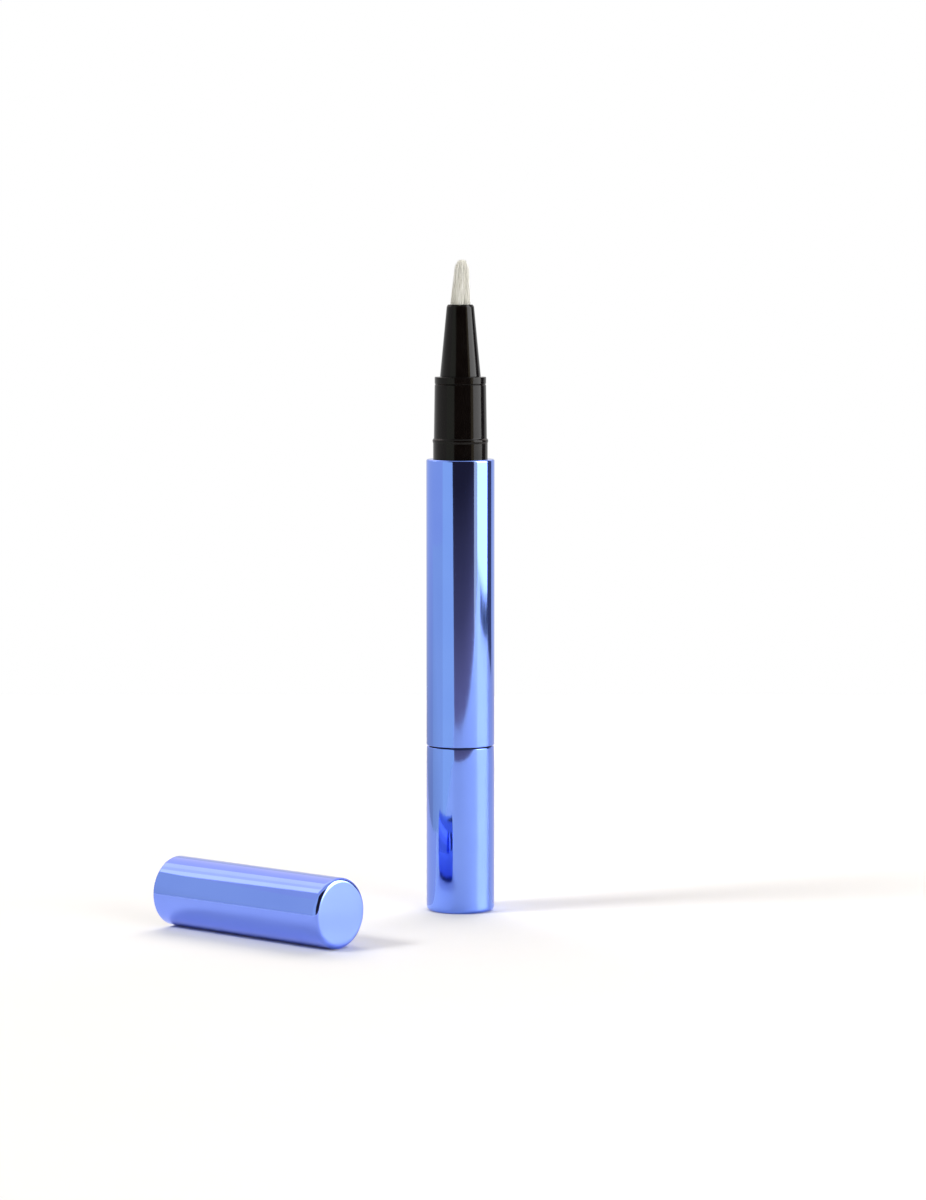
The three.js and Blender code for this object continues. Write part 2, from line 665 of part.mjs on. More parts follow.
// Coil spring between the core's floor and the crown, as one unbroken wire.
function ratchetSpring() {
  const radius = (driveClear + sleeveBore) / 2;
  const foot = coreFloorTop + SEAT_GAP + SPRING_WIRE / 2;
  const rise = crownFoot - SEAT_GAP - SPRING_WIRE / 2 - foot;
  const steps = SPRING_TURNS * THREAD_STEPS;
  const sections = Array.from({ length: steps + 1 }, (_, i) => {
    const angle = (2 * Math.PI * i) / THREAD_STEPS;
    const height = foot + (rise * i) / steps;
    return Array.from({ length: WIRE_SIDES }, (_, k) => {
      const turn = (2 * Math.PI * k) / WIRE_SIDES;
      const out = radius + (SPRING_WIRE / 2) * Math.cos(turn);
      return [out * Math.cos(angle), out * Math.sin(angle), height - (SPRING_WIRE / 2) * Math.sin(turn)];
    });
  });
  console.log("least gap between the spring's turns:", (rise / SPRING_TURNS - SPRING_WIRE).toFixed(2), "mm");
  return swept(sections);
}

// Open spring ring in the drive tube's groove, which keeps the base on the barrel.
function snapRing() {
  const inner = driveRadius - SNAP_RING_GROOVE + PRESS_GAP;
  const half = THREE.MathUtils.degToRad(SNAP_RING_OPENING / 2);
  const outline = new THREE.Shape();
  outline.absarc(0, 0, inner + SNAP_RING_WIDTH, half, 2 * Math.PI - half, false);
  outline.absarc(0, 0, inner, 2 * Math.PI - half, half, true);
  const made = new THREE.ExtrudeGeometry(outline, {
    depth: SNAP_RING_THICKNESS,
    bevelEnabled: false,
    curveSegments: PLAIN_SIDES / 2,
  });
  return made.translate(0, 0, snapRingFoot);
}

// Lining of the cap, its mouth at height 0: a bore with a groove for the neck's bead, then a narrower bore.
function capLiner() {
  const bore = collarRadius + LINER_SLIDE;
  const groove = beadRadius + PRESS_GAP;
  const deep = LINER_BORE_DIAMETER / 2;
  const stepDepth = NECK_HEIGHT + SEAT_GAP + GASKET_THICKNESS + SEAT_GAP;
  const end = CAP_LENGTH - SHELL_END - SEAT_GAP;
  return turned(
    [
      [0, end],
      [insertRadius, end],
      [insertRadius, end - LINER_FLANGE],
      [deep + LINER_WALL, end - LINER_FLANGE],
      [deep + LINER_WALL, stepDepth + LINER_STEP],
      [insertRadius, stepDepth + LINER_STEP],
      [insertRadius, LINER_INSET],
      [bore, LINER_INSET],
      [bore, COLLAR_HEIGHT],
      [groove, COLLAR_HEIGHT + BEAD_HEIGHT / 3],
      [groove, COLLAR_HEIGHT + (2 * BEAD_HEIGHT) / 3],
      [bore, COLLAR_HEIGHT + BEAD_HEIGHT],
      [bore, stepDepth],
      [deep, stepDepth],
      [deep, end - LINER_END],
      [0, end - LINER_END],
    ],
    FINE_SIDES,
  );
}

// Soft ring at the lining's step, which closes on the top of the neck.
function capGasket() {
  const outer = collarRadius + LINER_SLIDE - PRESS_GAP;
  const foot = NECK_HEIGHT + SEAT_GAP;
  return ring(GASKET_BORE_DIAMETER / 2, outer, foot, foot + GASKET_THICKNESS, FINE_SIDES);
}

// Barrel with everything that stays still in it
const barrel = new THREE.Group();
barrel.add(
  piece("barrel_shell", barrelShell(), "blueMetal", barrelFoot),
  piece("reservoir_tube", reservoirTube(), "clearPlastic"),
  piece("neck_collar", neckCollar(), "blackPlastic"),
  piece("neck_o_ring", neckSeal(), "rubber"),
  piece("nozzle", nozzle(), "blackPlastic"),
  piece("brush_ferrule", brushFerrule(), "whitePlastic"),
  piece("feed_tube", feedTube(), "steel"),
  piece("brush_bristles", brushBristles(), "bristle"),
  piece("turn_bush", turnBush(), "blackPlastic"),
  piece("feed_nut", feedNut(), "greyPlastic"),
);

// Twist base
const knob = new THREE.Group();
knob.add(
  piece("knob_shell", drawnCup(KNOB_HEIGHT), "blueMetal"),
  piece("knob_core", knobCore(), "blackPlastic"),
  piece("ratchet_crown", ratchetCrown(), "greyPlastic"),
  piece("ratchet_spring", ratchetSpring(), "steel"),
  piece("snap_ring", snapRing(), "steel"),
);

// Feed
const feed = new THREE.Group();
feed.add(piece("spindle", spindle(), "whitePlastic"), piece("piston", piston(), "whitePlastic"));

// Cap, built mouth down and then laid on its side with its mouth towards -X
const capShell = piece("cap_shell", drawnCup(CAP_LENGTH), "blueMetal", CAP_LENGTH);
capShell.rotation.x = Math.PI;
const cap = new THREE.Group();
cap.add(
  capShell,
  piece("cap_liner", capLiner(), "blackPlastic"),
  piece("cap_gasket", capGasket(), "rubber"),
);
cap.rotation.y = Math.PI / 2;
cap.position.set(CAP_MOUTH_X, CAP_AXIS_Y, shellRadius);

const pen = new THREE.Group();
pen.add(barrel, knob, feed, cap);

export default pen;
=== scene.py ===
"""Looks of a twist-up serum pen that stands open beside its cap, and the studio round it.

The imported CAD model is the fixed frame. The metal shells, the black neck and nozzle, the brush and the
cap's lining are built finer here. The other solids keep their shape and get a finish.
Sizes in the classes are in millimetres, and meshes are scaled to metres as they are made.
"""

import logging
import math
import random
from dataclasses import dataclass
from enum import Enum

import bmesh
import bpy
from bmesh.types import BMesh, BMVert
from bpy.types import ID, Light, Material, Mesh, Node, Nodes, NodeSocket, Object
from mathutils import Matrix, Vector

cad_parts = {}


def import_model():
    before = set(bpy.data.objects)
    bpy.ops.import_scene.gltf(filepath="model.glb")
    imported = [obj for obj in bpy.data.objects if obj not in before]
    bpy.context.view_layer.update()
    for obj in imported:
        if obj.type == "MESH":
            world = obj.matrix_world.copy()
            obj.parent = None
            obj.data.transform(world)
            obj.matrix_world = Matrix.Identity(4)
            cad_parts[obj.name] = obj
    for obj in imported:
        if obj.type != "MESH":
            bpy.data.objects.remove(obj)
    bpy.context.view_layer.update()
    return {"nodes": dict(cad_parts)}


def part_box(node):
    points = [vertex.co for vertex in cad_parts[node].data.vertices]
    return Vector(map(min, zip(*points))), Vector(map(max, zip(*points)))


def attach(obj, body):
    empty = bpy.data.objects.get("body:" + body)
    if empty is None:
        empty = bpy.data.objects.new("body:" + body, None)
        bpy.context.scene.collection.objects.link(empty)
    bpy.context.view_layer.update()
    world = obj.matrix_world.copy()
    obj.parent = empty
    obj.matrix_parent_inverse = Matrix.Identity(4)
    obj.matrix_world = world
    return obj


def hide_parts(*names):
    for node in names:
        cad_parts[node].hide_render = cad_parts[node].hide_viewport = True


log = logging.getLogger("serum_pen")

MM = 0.001
SHARP_ANGLE = math.radians(38)
GOLDEN_ANGLE = math.pi * (3 - math.sqrt(5))
METAL_SIDES = 180
PLASTIC_SIDES = 144
IN_PLACE = Matrix.Identity(4)

Colour = tuple[float, float, float]
Point = tuple[float, float]
Pair = tuple[float, float]
Triple = tuple[float, float, float]

WHITE: Colour = (1.0, 1.0, 1.0)


class Body(Enum):
    """CAD bodies that pieces ride on."""

    BARREL = "barrel"
    KNOB = "knob"
    CAP = "cap"


class Slot(Enum):
    """Names of material slots, one carried by each finish."""

    BLUE_METAL = "blue_metal"
    BLACK_PLASTIC = "black_plastic"
    BLACK_LINER = "black_liner"
    CLEAR_PLASTIC = "clear_plastic"
    WHITE_PLASTIC = "white_plastic"
    GREY_PLASTIC = "grey_plastic"
    SEAL_RUBBER = "seal_rubber"
    STEEL = "steel"
    BRISTLE_NYLON = "bristle_nylon"


class LampKind(Enum):
    """Types of lamp in the studio, by Blender's names."""

    SUN = "SUN"
    AREA = "AREA"


class NodeBoard:
    """The nodes of one new material, with short ways to add and join them."""

    WEAK = 0.3
    STRONG = 0.7

    def __init__(self, name: str) -> None:
        """Start a material with a plain Principled shader.

        Args:
            name: Name of the material.
        """
        self.material = bpy.data.materials.new(name)
        self.material.use_nodes = True
        self.tree = self.material.node_tree
        self.shader = self.tree.nodes["Principled BSDF"]

    def add(self, kind: str, **inputs: object) -> Node:
        """Add a node and set some of its sockets.

        Args:
            kind: Blender's name for the type of node.
            **inputs: Socket values by socket name, with _ for a blank.

        Returns:
            The new node.
        """
        node = self.tree.nodes.new(kind)
        self.set_sockets(node, inputs)
        return node

    @staticmethod
    def set_sockets(node: Node, inputs: dict[str, object]) -> None:
        """Set sockets of a node by their names, with _ for a blank."""
        for name, value in inputs.items():
            node.inputs[name.replace("_", " ")].default_value = value

    def link(self, source: NodeSocket, target: NodeSocket) -> None:
        """Join two sockets."""
        self.tree.links.new(source, target)

    def constant(self, **inputs: object) -> None:
        """Set the shader's own sockets, by socket name with _ for a blank."""
        self.set_sockets(self.shader, inputs)

    def feed(self, source: NodeSocket, name: str) -> None:
        """Join a socket to one of the shader's."""
        self.link(source, self.shader.inputs[name])

    def place(self, scale: Triple) -> NodeSocket:
        """Coordinates on the object, scaled along each axis.

        Args:
            scale: Pattern cells per metre along X, Y and Z.

        Returns:
            The socket of the scaled coordinates.
        """
        where = self.add("ShaderNodeTexCoord")
        mapping = self.add("ShaderNodeMapping", Scale=scale)
        self.link(where.outputs["Object"], mapping.inputs["Vector"])
        return mapping.outputs["Vector"]

    def noise(self, scale: Triple, detail: float = 2.0) -> NodeSocket:
        """A cloudy pattern from 0 to 1.

        Args:
            scale: Pattern cells per metre along X, Y and Z.
            detail: How many finer layers it has.

        Returns:
            The pattern's socket.
        """
        node = self.add("ShaderNodeTexNoise", Scale=1.0, Detail=detail)
        self.link(self.place(scale), node.inputs["Vector"])
        return node.outputs[0]

    def spread(self, pattern: NodeSocket, low: float, high: float) -> NodeSocket:
        """Stretch a cloudy pattern over a range of values.

        Args:
            pattern: The pattern's socket.
            low: Value where the pattern is weak.
            high: Value where it is strong.

        Returns:
            The socket of the stretched value.
        """
        node = self.add(
            "ShaderNodeMapRange", From_Min=self.WEAK, From_Max=self.STRONG, To_Min=low, To_Max=high
        )
        self.link(pattern, node.inputs["Value"])
        return node.outputs["Result"]

    def blend(self, pattern: NodeSocket, first: Colour, second: Colour) -> NodeSocket:
        """Mix two colours by a cloudy pattern.

        Args:
            pattern: The pattern's socket.
            first: Colour where the pattern is weak.
            second: Colour where it is strong.

        Returns:
            The socket of the mixed colour.
        """
        node = self.add("ShaderNodeValToRGB")
        weak, strong = node.color_ramp.elements
        weak.position = self.WEAK
        weak.color = (*first, 1.0)
        strong.position = self.STRONG
        strong.color = (*second, 1.0)
        self.link(pattern, node.inputs["Fac"])
        return node.outputs["Color"]

    def mix(self, share: NodeSocket, first: NodeSocket, second: NodeSocket) -> NodeSocket:
        """Mix two shaders.

        Args:
            share: Share of the second one.
            first: The shader at a share of 0.
            second: The shader at a share of 1.

        Returns:
            The socket of the mixed shader.
        """
        node = self.add("ShaderNodeMixShader")
        for index, source in enumerate((share, first, second)):
            self.link(source, node.inputs[index])
        return node.outputs[0]

    def relief(self, pattern: NodeSocket, depth: float) -> None:
        """Raise the surface by a pattern.

        Args:
            pattern: The pattern's socket.
            depth: How far it is raised, in metres.
        """
        bump = self.add("ShaderNodeBump", Strength=1.0, Distance=depth)
        self.link(pattern, bump.inputs["Height"])
        self.feed(bump.outputs["Normal"], "Normal")


@dataclass(frozen=True)
class Finish:
    """What all finishes share: a name, and a slot."""

    name: str
    slot: Slot

    def material(self) -> Material:
        """Return the material, which is made on its first use."""
        return bpy.data.materials.get(self.name) or self.make()

    def make(self) -> Material:
        """Build the material; each kind of finish has its own way."""
        raise NotImplementedError(self.name)


@dataclass(frozen=True)
class DrawnMetal(Finish):
    """Mirror-bright metal with faint lines along the way it was drawn."""

    tint: Colour
    deep_tint: Colour
    grain: Triple
    grain_detail: float = 3.0
    smooth: float = 0.045
    worn: float = 0.075
    swell: Triple = (700.0, 700.0, 700.0)
    swell_detail: float = 1.0
    swell_depth: float = 3e-7
    cloud: Triple = (90.0, 90.0, 90.0)

    def make(self) -> Material:
        """Build the metal from its lines, its slow swell and a drift of tint.

        Returns:
            The material.
        """
        board = NodeBoard(self.name)
        board.constant(Metallic=1.0)
        board.feed(board.blend(board.noise(self.cloud), self.tint, self.deep_tint), "Base Color")
        lines = board.noise(self.grain, self.grain_detail)
        board.feed(board.spread(lines, self.smooth, self.worn), "Roughness")
        board.relief(board.noise(self.swell, self.swell_detail), self.swell_depth)
        return board.material


@dataclass(frozen=True)
class Moulding(Finish):
    """Moulded plastic or rubber with a fine skin and a slight drift of colour."""

    colour: Colour
    second: Colour
    smooth: float
    rough: float
    gloss: float = 0.5
    clear: float = 0.0
    cell: Triple = (2600.0, 2600.0, 2600.0)
    skin_depth: float = 1.5e-6
    cloud: Triple = (350.0, 350.0, 350.0)
    cloud_detail: float = 3.0

    def make(self) -> Material:
        """Build the moulding from a drift of colour, patches of gloss and its skin.

        Returns:
            The material.
        """
        board = NodeBoard(self.name)
        board.constant(Specular_IOR_Level=self.gloss, Transmission_Weight=self.clear)
        cloud = board.noise(self.cloud, self.cloud_detail)
        board.feed(board.blend(cloud, self.colour, self.second), "Base Color")
        board.feed(board.spread(cloud, self.smooth, self.rough), "Roughness")
        board.relief(board.noise(self.cell), self.skin_depth)
        return board.material


@dataclass(frozen=True)
class Filaments(Finish):
    """Pale nylon filaments, each a little lighter or darker than the next."""

    colour: Colour
    shade: Colour
    strand: Triple = (4200.0, 4200.0, 90.0)
    gloss: float = 0.3
    smooth: float = 0.35
    rough: float = 0.55
    scuff: Triple = (9000.0, 9000.0, 2500.0)
    scuff_depth: float = 2e-6

    def make(self) -> Material:
        """Build the nylon from streaks that run along the strands.

        Returns:
            The material.
        """
        board = NodeBoard(self.name)
        board.constant(Specular_IOR_Level=self.gloss)
        streaks = board.noise(self.strand)
        board.feed(board.blend(streaks, self.shade, self.colour), "Base Color")
        board.feed(board.spread(streaks, self.rough, self.smooth), "Roughness")
        board.relief(board.noise(self.scuff), self.scuff_depth)
        return board.material


UPRIGHT_BLUE = DrawnMetal(
    "blue_metal_upright",
    Slot.BLUE_METAL,
    tint=(0.215, 0.345, 0.94),
    deep_tint=(0.2, 0.325, 0.92),
    grain=(5200.0, 5200.0, 90.0),
)
LYING_BLUE = DrawnMetal(
    "blue_metal_lying",
    Slot.BLUE_METAL,
    tint=(0.222, 0.328, 0.94),
    deep_tint=(0.208, 0.31, 0.92),
    grain=(90.0, 5200.0, 5200.0),
)
STEEL = DrawnMetal(
    "spring_steel",
    Slot.STEEL,
    tint=(0.56, 0.57, 0.58),
    deep_tint=(0.48, 0.49, 0.5),
    grain=(4000.0, 4000.0, 4000.0),
    smooth=0.2,
    worn=0.34,
    swell=(5000.0, 5000.0, 5000.0),
    swell_depth=1e-6,
)
GLOSS_BLACK = Moulding(
    "gloss_black_plastic",
    Slot.BLACK_PLASTIC,
    colour=(0.0024, 0.0016, 0.0013),
    second=(0.0036, 0.0026, 0.0022),
    smooth=0.09,
    rough=0.14,
    gloss=0.17,
    skin_depth=8e-7,
)
SATIN_BLACK = Moulding(
    "satin_black_plastic",
    Slot.BLACK_LINER,
    colour=(0.013, 0.013, 0.014),
    second=(0.019, 0.019, 0.02),
    smooth=0.34,
    rough=0.46,
    gloss=0.4,
)
CLEAR = Moulding(
    "clear_plastic",
    Slot.CLEAR_PLASTIC,
    colour=(0.86, 0.9, 0.92),
    second=(0.82, 0.87, 0.9),
    smooth=0.08,
    rough=0.16,
    clear=0.85,
    skin_depth=5e-7,
)
NATURAL_WHITE = Moulding(
    "natural_white_plastic",
    Slot.WHITE_PLASTIC,
    colour=(0.82, 0.8, 0.75),
    second=(0.76, 0.74, 0.69),
    smooth=0.36,
    rough=0.5,
)
SATIN_GREY = Moulding(
    "satin_grey_plastic",
    Slot.GREY_PLASTIC,
    colour=(0.28, 0.3, 0.32),
    second=(0.24, 0.26, 0.28),
    smooth=0.4,
    rough=0.54,
)
RUBBER = Moulding(
    "seal_rubber",
    Slot.SEAL_RUBBER,
    colour=(0.02, 0.02, 0.022),
    second=(0.03, 0.03, 0.032),
    smooth=0.62,
    rough=0.8,
    gloss=0.3,
    skin_depth=4e-6,
)
IVORY_NYLON = Filaments(
    "ivory_nylon",
    Slot.BRISTLE_NYLON,
    colour=(0.995, 0.99, 0.95),
    shade=(0.76, 0.75, 0.66),
)


def polar(radius: float, angle: float, height: float) -> Vector:
    """A place at a radius and an angle round the Z axis."""
    return Vector((radius * math.cos(angle), radius * math.sin(angle), height))


def turns(sides: int) -> list[float]:
    """Angles of even steps once round a circle."""
    return [2 * math.pi * side / sides for side in range(sides)]


def even_shares(count: int) -> list[float]:
    """Shares from 0 to 1, each in the middle of its even step."""
    return [(index + 0.5) / count for index in range(count)]


def eased(share: float) -> float:
    """A share from 0 to 1 that starts and ends slowly."""
    kept = min(1.0, max(0.0, share))
    return kept * kept * (3 - 2 * kept)


def skin(shape: BMesh, lower: list[BMVert], upper: list[BMVert]) -> None:
    """Join two rings of points by a band of faces.

    Args:
        shape: The shape that both rings are in.
        lower: Points of the first ring.
        upper: Points of the second ring, as many. A ring on the axis repeats its one point.
    """
    for side in range(len(lower)):
        beside = (side + 1) % len(lower)
        ring = [lower[side], lower[beside], upper[beside], upper[side]]
        shape.faces.new(list(dict.fromkeys(ring)))


def finished_mesh(shape: BMesh, name: str, where: Matrix = IN_PLACE) -> Mesh:
    """Turn a shape in millimetres into a shaded mesh in metres.

    Args:
        shape: The shape, which is used up.
        name: Name of the mesh.
        where: Place of the shape in millimetres.

    Returns:
        The mesh.
    """
    mesh = bpy.data.meshes.new(name)
    shape.to_mesh(mesh)
    shape.free()
    mesh.transform(Matrix.Scale(MM, 4) @ where)
    mesh.shade_smooth()
    mesh.set_sharp_from_angle(angle=SHARP_ANGLE)
    return mesh


@dataclass(frozen=True)
class Corner:
    """A corner of a turned outline, and the round on it."""

    radius: float
    height: float
    round: float = 0.0


class Outline:
    """A turned piece's outline. It starts and ends on the axis, or else it is a loop."""

    ARC_STEPS = 6
    SUPPORT = 0.3
    ON_AXIS = 1e-6

    def __init__(self, *corners: Corner) -> None:
        """Keep the corners in order round the outline."""
        self.corners = corners
        self.loop = corners[0].radius > self.ON_AXIS

    def points(self) -> list[Point]:
        """Work out the outline with its rounds.

        Returns:
            Radius and height of each point in order.
        """
        made: list[Point] = []
        last = len(self.corners) - 1
        for index, corner in enumerate(self.corners):
            at_end = not self.loop and index in (0, last)
            if at_end or corner.round <= 0:
                made.append((corner.radius, corner.height))
            else:
                before = self.corners[index - 1]
                after = self.corners[(index + 1) % len(self.corners)]
                made.extend(self.rounded(before, corner, after))
        return made

    def rounded(self, before: Corner, corner: Corner, after: Corner) -> list[Point]:
        """Replace a corner by an arc, with a point beside each end to keep the shading tight.

        Args:
            before: The corner ahead of it in the outline.
            corner: The corner with the round.
            after: The corner that follows it.

        Returns:
            Points of the arc in order.
        """
        at = Vector((corner.radius, corner.height))
        back = Vector((before.radius, before.height)) - at
        ahead = Vector((after.radius, after.height)) - at
        to_back, to_ahead = back.normalized(), ahead.normalized()
        half = back.angle(ahead) / 2
        reach = min(corner.round / math.tan(half), back.length / 2, ahead.length / 2)
        support = 1 + self.SUPPORT
        centre = at + (to_back + to_ahead).normalized() * (reach / math.cos(half))
        start = at + to_back * reach - centre
        stop = at + to_ahead * reach - centre
        made = []
        if back.length / 2 > reach * support:
            made.append(tuple(at + to_back * reach * support))
        for step in range(self.ARC_STEPS + 1):
            arm = start.normalized().slerp(stop.normalized(), step / self.ARC_STEPS)
            made.append(tuple(centre + arm * start.length))
        if ahead.length / 2 > reach * support:
            made.append(tuple(at + to_ahead * reach * support))
        return made

    def turned(self, name: str, sides: int = PLASTIC_SIDES, where: Matrix = IN_PLACE) -> Mesh:
        """Turn the outline about its axis into a closed mesh.

        Args:
            name: Name of the mesh.
            sides: Steps round the axis.
            where: Place of the axis in millimetres, with height along its Z.

        Returns:
            The mesh in metres, smooth but for its sharp edges.
        """
        shape = bmesh.new()
        rings = []
        for radius, height in self.points():
            if radius < self.ON_AXIS:
                rings.append([shape.verts.new((0.0, 0.0, height))] * sides)
            else:
                rings.append([shape.verts.new(polar(radius, turn, height)) for turn in turns(sides)])
        pairs = list(zip(rings, rings[1:]))
        if self.loop:
            pairs.append((rings[-1], rings[0]))
        for lower, upper in pairs:
            skin(shape, lower, upper)
        bmesh.ops.recalc_face_normals(shape, faces=shape.faces[:])
        return finished_mesh(shape, name, where)


def add_object(data: ID) -> Object:
    """Add an object to the scene.

    Args:
        data: Its mesh, lamp or camera, whose name it takes.

    Returns:
        The object.
    """
    thing = bpy.data.objects.new(data.name, data)
    bpy.context.scene.collection.objects.link(thing)
    return thing


def box_mm(node: str) -> tuple[Vector, Vector]:
    """Lowest and highest corner of a CAD node, in millimetres."""
    low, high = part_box(node)
    return low / MM, high / MM


@dataclass
class SubAssembly:
    """Pieces and dressed CAD solids of one part of the pen."""

    nodes: dict[str, Object]

    def add(self, mesh: Mesh, body: Body, finish: Finish, *stands_for: str) -> None:
        """Show a mesh as a piece of the pen.

        Args:
            mesh: The piece's mesh, in place.
            body: CAD body that it rides on.
            finish: What it is made of.
            *stands_for: CAD nodes that it is shown in place of.
        """
        piece = add_object(mesh)
        mesh.materials.append(finish.material())
        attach(piece, body.value)
        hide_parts(*stands_for)
        log.info("%s: %d faces, rides on %s", piece.name, len(mesh.polygons), body.value)

    def dress(self, finish: Finish, *names: str) -> None:
        """Give CAD solids a finish.

        Args:
            finish: What they are made of.
            *names: Names of their nodes.
        """
        for name in names:
            for holder in self.nodes[name].material_slots:
                holder.material = finish.material()
            log.info("%s: CAD solid in %s", name, finish.name)


@dataclass
class MetalPart(SubAssembly):
    """A part of the pen with a drawn metal shell, and the sizes that all the shells share."""

    wall: float = 0.5
    end: float = 0.6
    end_round: float = 0.8
    rim_round: float = 0.12
    edge_round: float = 0.06

    def cup(self, radius: float, closed: float, floor: float, *rim: Corner) -> Outline:
        """Draw the outline of a shell with one closed end.

        Args:
            radius: Its outer radius.
            closed: Height of the closed end's outer face.
            floor: Height of the closed end's inner face.
            *rim: Its outer corners towards the mouth, the last one on the rim.

        Returns:
            The outline.
        """
        bore = radius - self.wall
        return Outline(
            Corner(0.0, closed),
            Corner(radius, closed, self.end_round),
            *rim,
            Corner(bore, rim[-1].height, self.edge_round),
            Corner(bore, floor),
            Corner(0.0, floor),
        )


@dataclass
class Barrel(MetalPart):
    """Metal sleeve with the black neck and nozzle, and what stays still inside it."""

    shoulder_round: float = 0.35
    hole: float = 5.06
    collar: float = 5.0
    collar_height: float = 2.9
    bead: float = 5.1
    bead_height: float = 0.9
    neck_foot: float = 4.86
    neck_top: float = 4.71
    lip_height: float = 1.35
    lip_groove: float = 0.14
    lip_round: float = 0.14
    flange: float = 1.2
    flange_radius: float = 5.69
    skirt: float = 4.93
    skirt_height: float = 4.9
    seal_floor: float = 3.97
    seal_width: float = 1.3
    channel: float = 2.2
    stem: float = 3.4
    stem_gap: float = 0.06
    nozzle_foot: float = 3.73
    nozzle_tip: float = 2.505
    nozzle_face: float = 2.28
    nozzle_chamfer: float = 0.4
    tip_round: float = 0.2
    face_round: float = 0.15
    nozzle_height: float = 13.1
    mouth: float = 1.98
    mouth_depth: float = 2.6
    nozzle_bore: float = 2.26

    def build(self) -> None:
        """Build the outside pieces and dress the inside ones."""
        self.build_sleeve()
        self.build_neck()
        self.build_nozzle()
        self.dress(CLEAR, "reservoir_tube")
        self.dress(RUBBER, "neck_o_ring")
        self.dress(NATURAL_WHITE, "brush_ferrule")
        self.dress(SATIN_BLACK, "turn_bush")
        self.dress(STEEL, "feed_tube")
        self.dress(SATIN_GREY, "feed_nut")

    def build_sleeve(self) -> None:
        """Build the metal sleeve, turned in to a shoulder at its top."""
        low, high = box_mm("barrel_shell")
        radius = high.x
        bore = radius - self.wall
        outline = Outline(
            Corner(bore, low.z, self.edge_round),
            Corner(radius, low.z, self.rim_round),
            Corner(radius, high.z, self.shoulder_round),
            Corner(self.hole, high.z, self.edge_round),
            Corner(self.hole, high.z - self.end),
            Corner(bore, high.z - self.end),
        )
        self.add(outline.turned("barrel_sleeve", METAL_SIDES), Body.BARREL, UPRIGHT_BLUE, "barrel_shell")

    def build_neck(self) -> None:
        """Build the neck with its bead, its lip and the skirt that seals in the reservoir."""
        foot, top = (corner.z for corner in box_mm("neck_collar"))
        shoulder = box_mm("barrel_shell")[1].z
        flange_foot = foot + self.skirt_height
        flange_top = flange_foot + self.flange
        seal_foot = foot + (self.skirt_height - self.seal_width) / 2
        bead_foot = shoulder + self.collar_height
        bead_top = bead_foot + self.bead_height
        bead_flank = self.bead_height / 3
        bead_fillet = self.bead_height / 4
        lip = top - self.lip_height
        lip_fillet = self.lip_groove / 2
        stem_bore = self.stem + self.stem_gap
        stem_seat = box_mm("nozzle")[0].z - self.stem_gap
        outline = Outline(
            Corner(self.channel, foot, self.edge_round),
            Corner(self.skirt, foot, self.edge_round),
            Corner(self.skirt, seal_foot),
            Corner(self.seal_floor, seal_foot),
            Corner(self.seal_floor, seal_foot + self.seal_width),
            Corner(self.skirt, seal_foot + self.seal_width),
            Corner(self.skirt, flange_foot),
            Corner(self.flange_radius, flange_foot, self.edge_round),
            Corner(self.flange_radius, flange_top, self.edge_round),
            Corner(self.collar, flange_top),
            Corner(self.collar, bead_foot, bead_fillet),
            Corner(self.bead, bead_foot + bead_flank, bead_flank),
            Corner(self.bead, bead_foot + 2 * bead_flank, bead_flank),
            Corner(self.neck_foot, bead_top, bead_fillet),
            Corner(self.neck_top, lip - self.lip_groove, lip_fillet),
            Corner(self.neck_top - self.lip_groove, lip, self.lip_groove / 3),
            Corner(self.neck_top, lip + self.lip_groove, lip_fillet),
            Corner(self.neck_top, top, self.lip_round),
            Corner(stem_bore, top, self.edge_round),
            Corner(stem_bore, stem_seat),
            Corner(self.channel, stem_seat),
        )
        self.add(outline.turned("neck_moulding"), Body.BARREL, GLOSS_BLACK, "neck_collar")

    def build_nozzle(self) -> None:
        """Build the cone with its stem and the mouth for the brush."""
        low, high = box_mm("nozzle")
        seat = high.z - self.nozzle_height
        outline = Outline(
            Corner(self.nozzle_bore, low.z, self.edge_round),
            Corner(self.stem, low.z, self.edge_round),
            Corner(self.stem, seat),
            Corner(self.nozzle_foot, seat, self.edge_round),
            Corner(self.nozzle_tip, high.z - self.nozzle_chamfer, self.tip_round),
            Corner(self.nozzle_face, high.z, self.face_round),
            Corner(self.mouth, high.z, self.edge_round),
            Corner(self.mouth, high.z - self.mouth_depth),
            Corner(self.nozzle_bore, high.z - self.mouth_depth),
        )
        self.add(outline.turned("nozzle_cone"), Body.BARREL, GLOSS_BLACK, "nozzle")


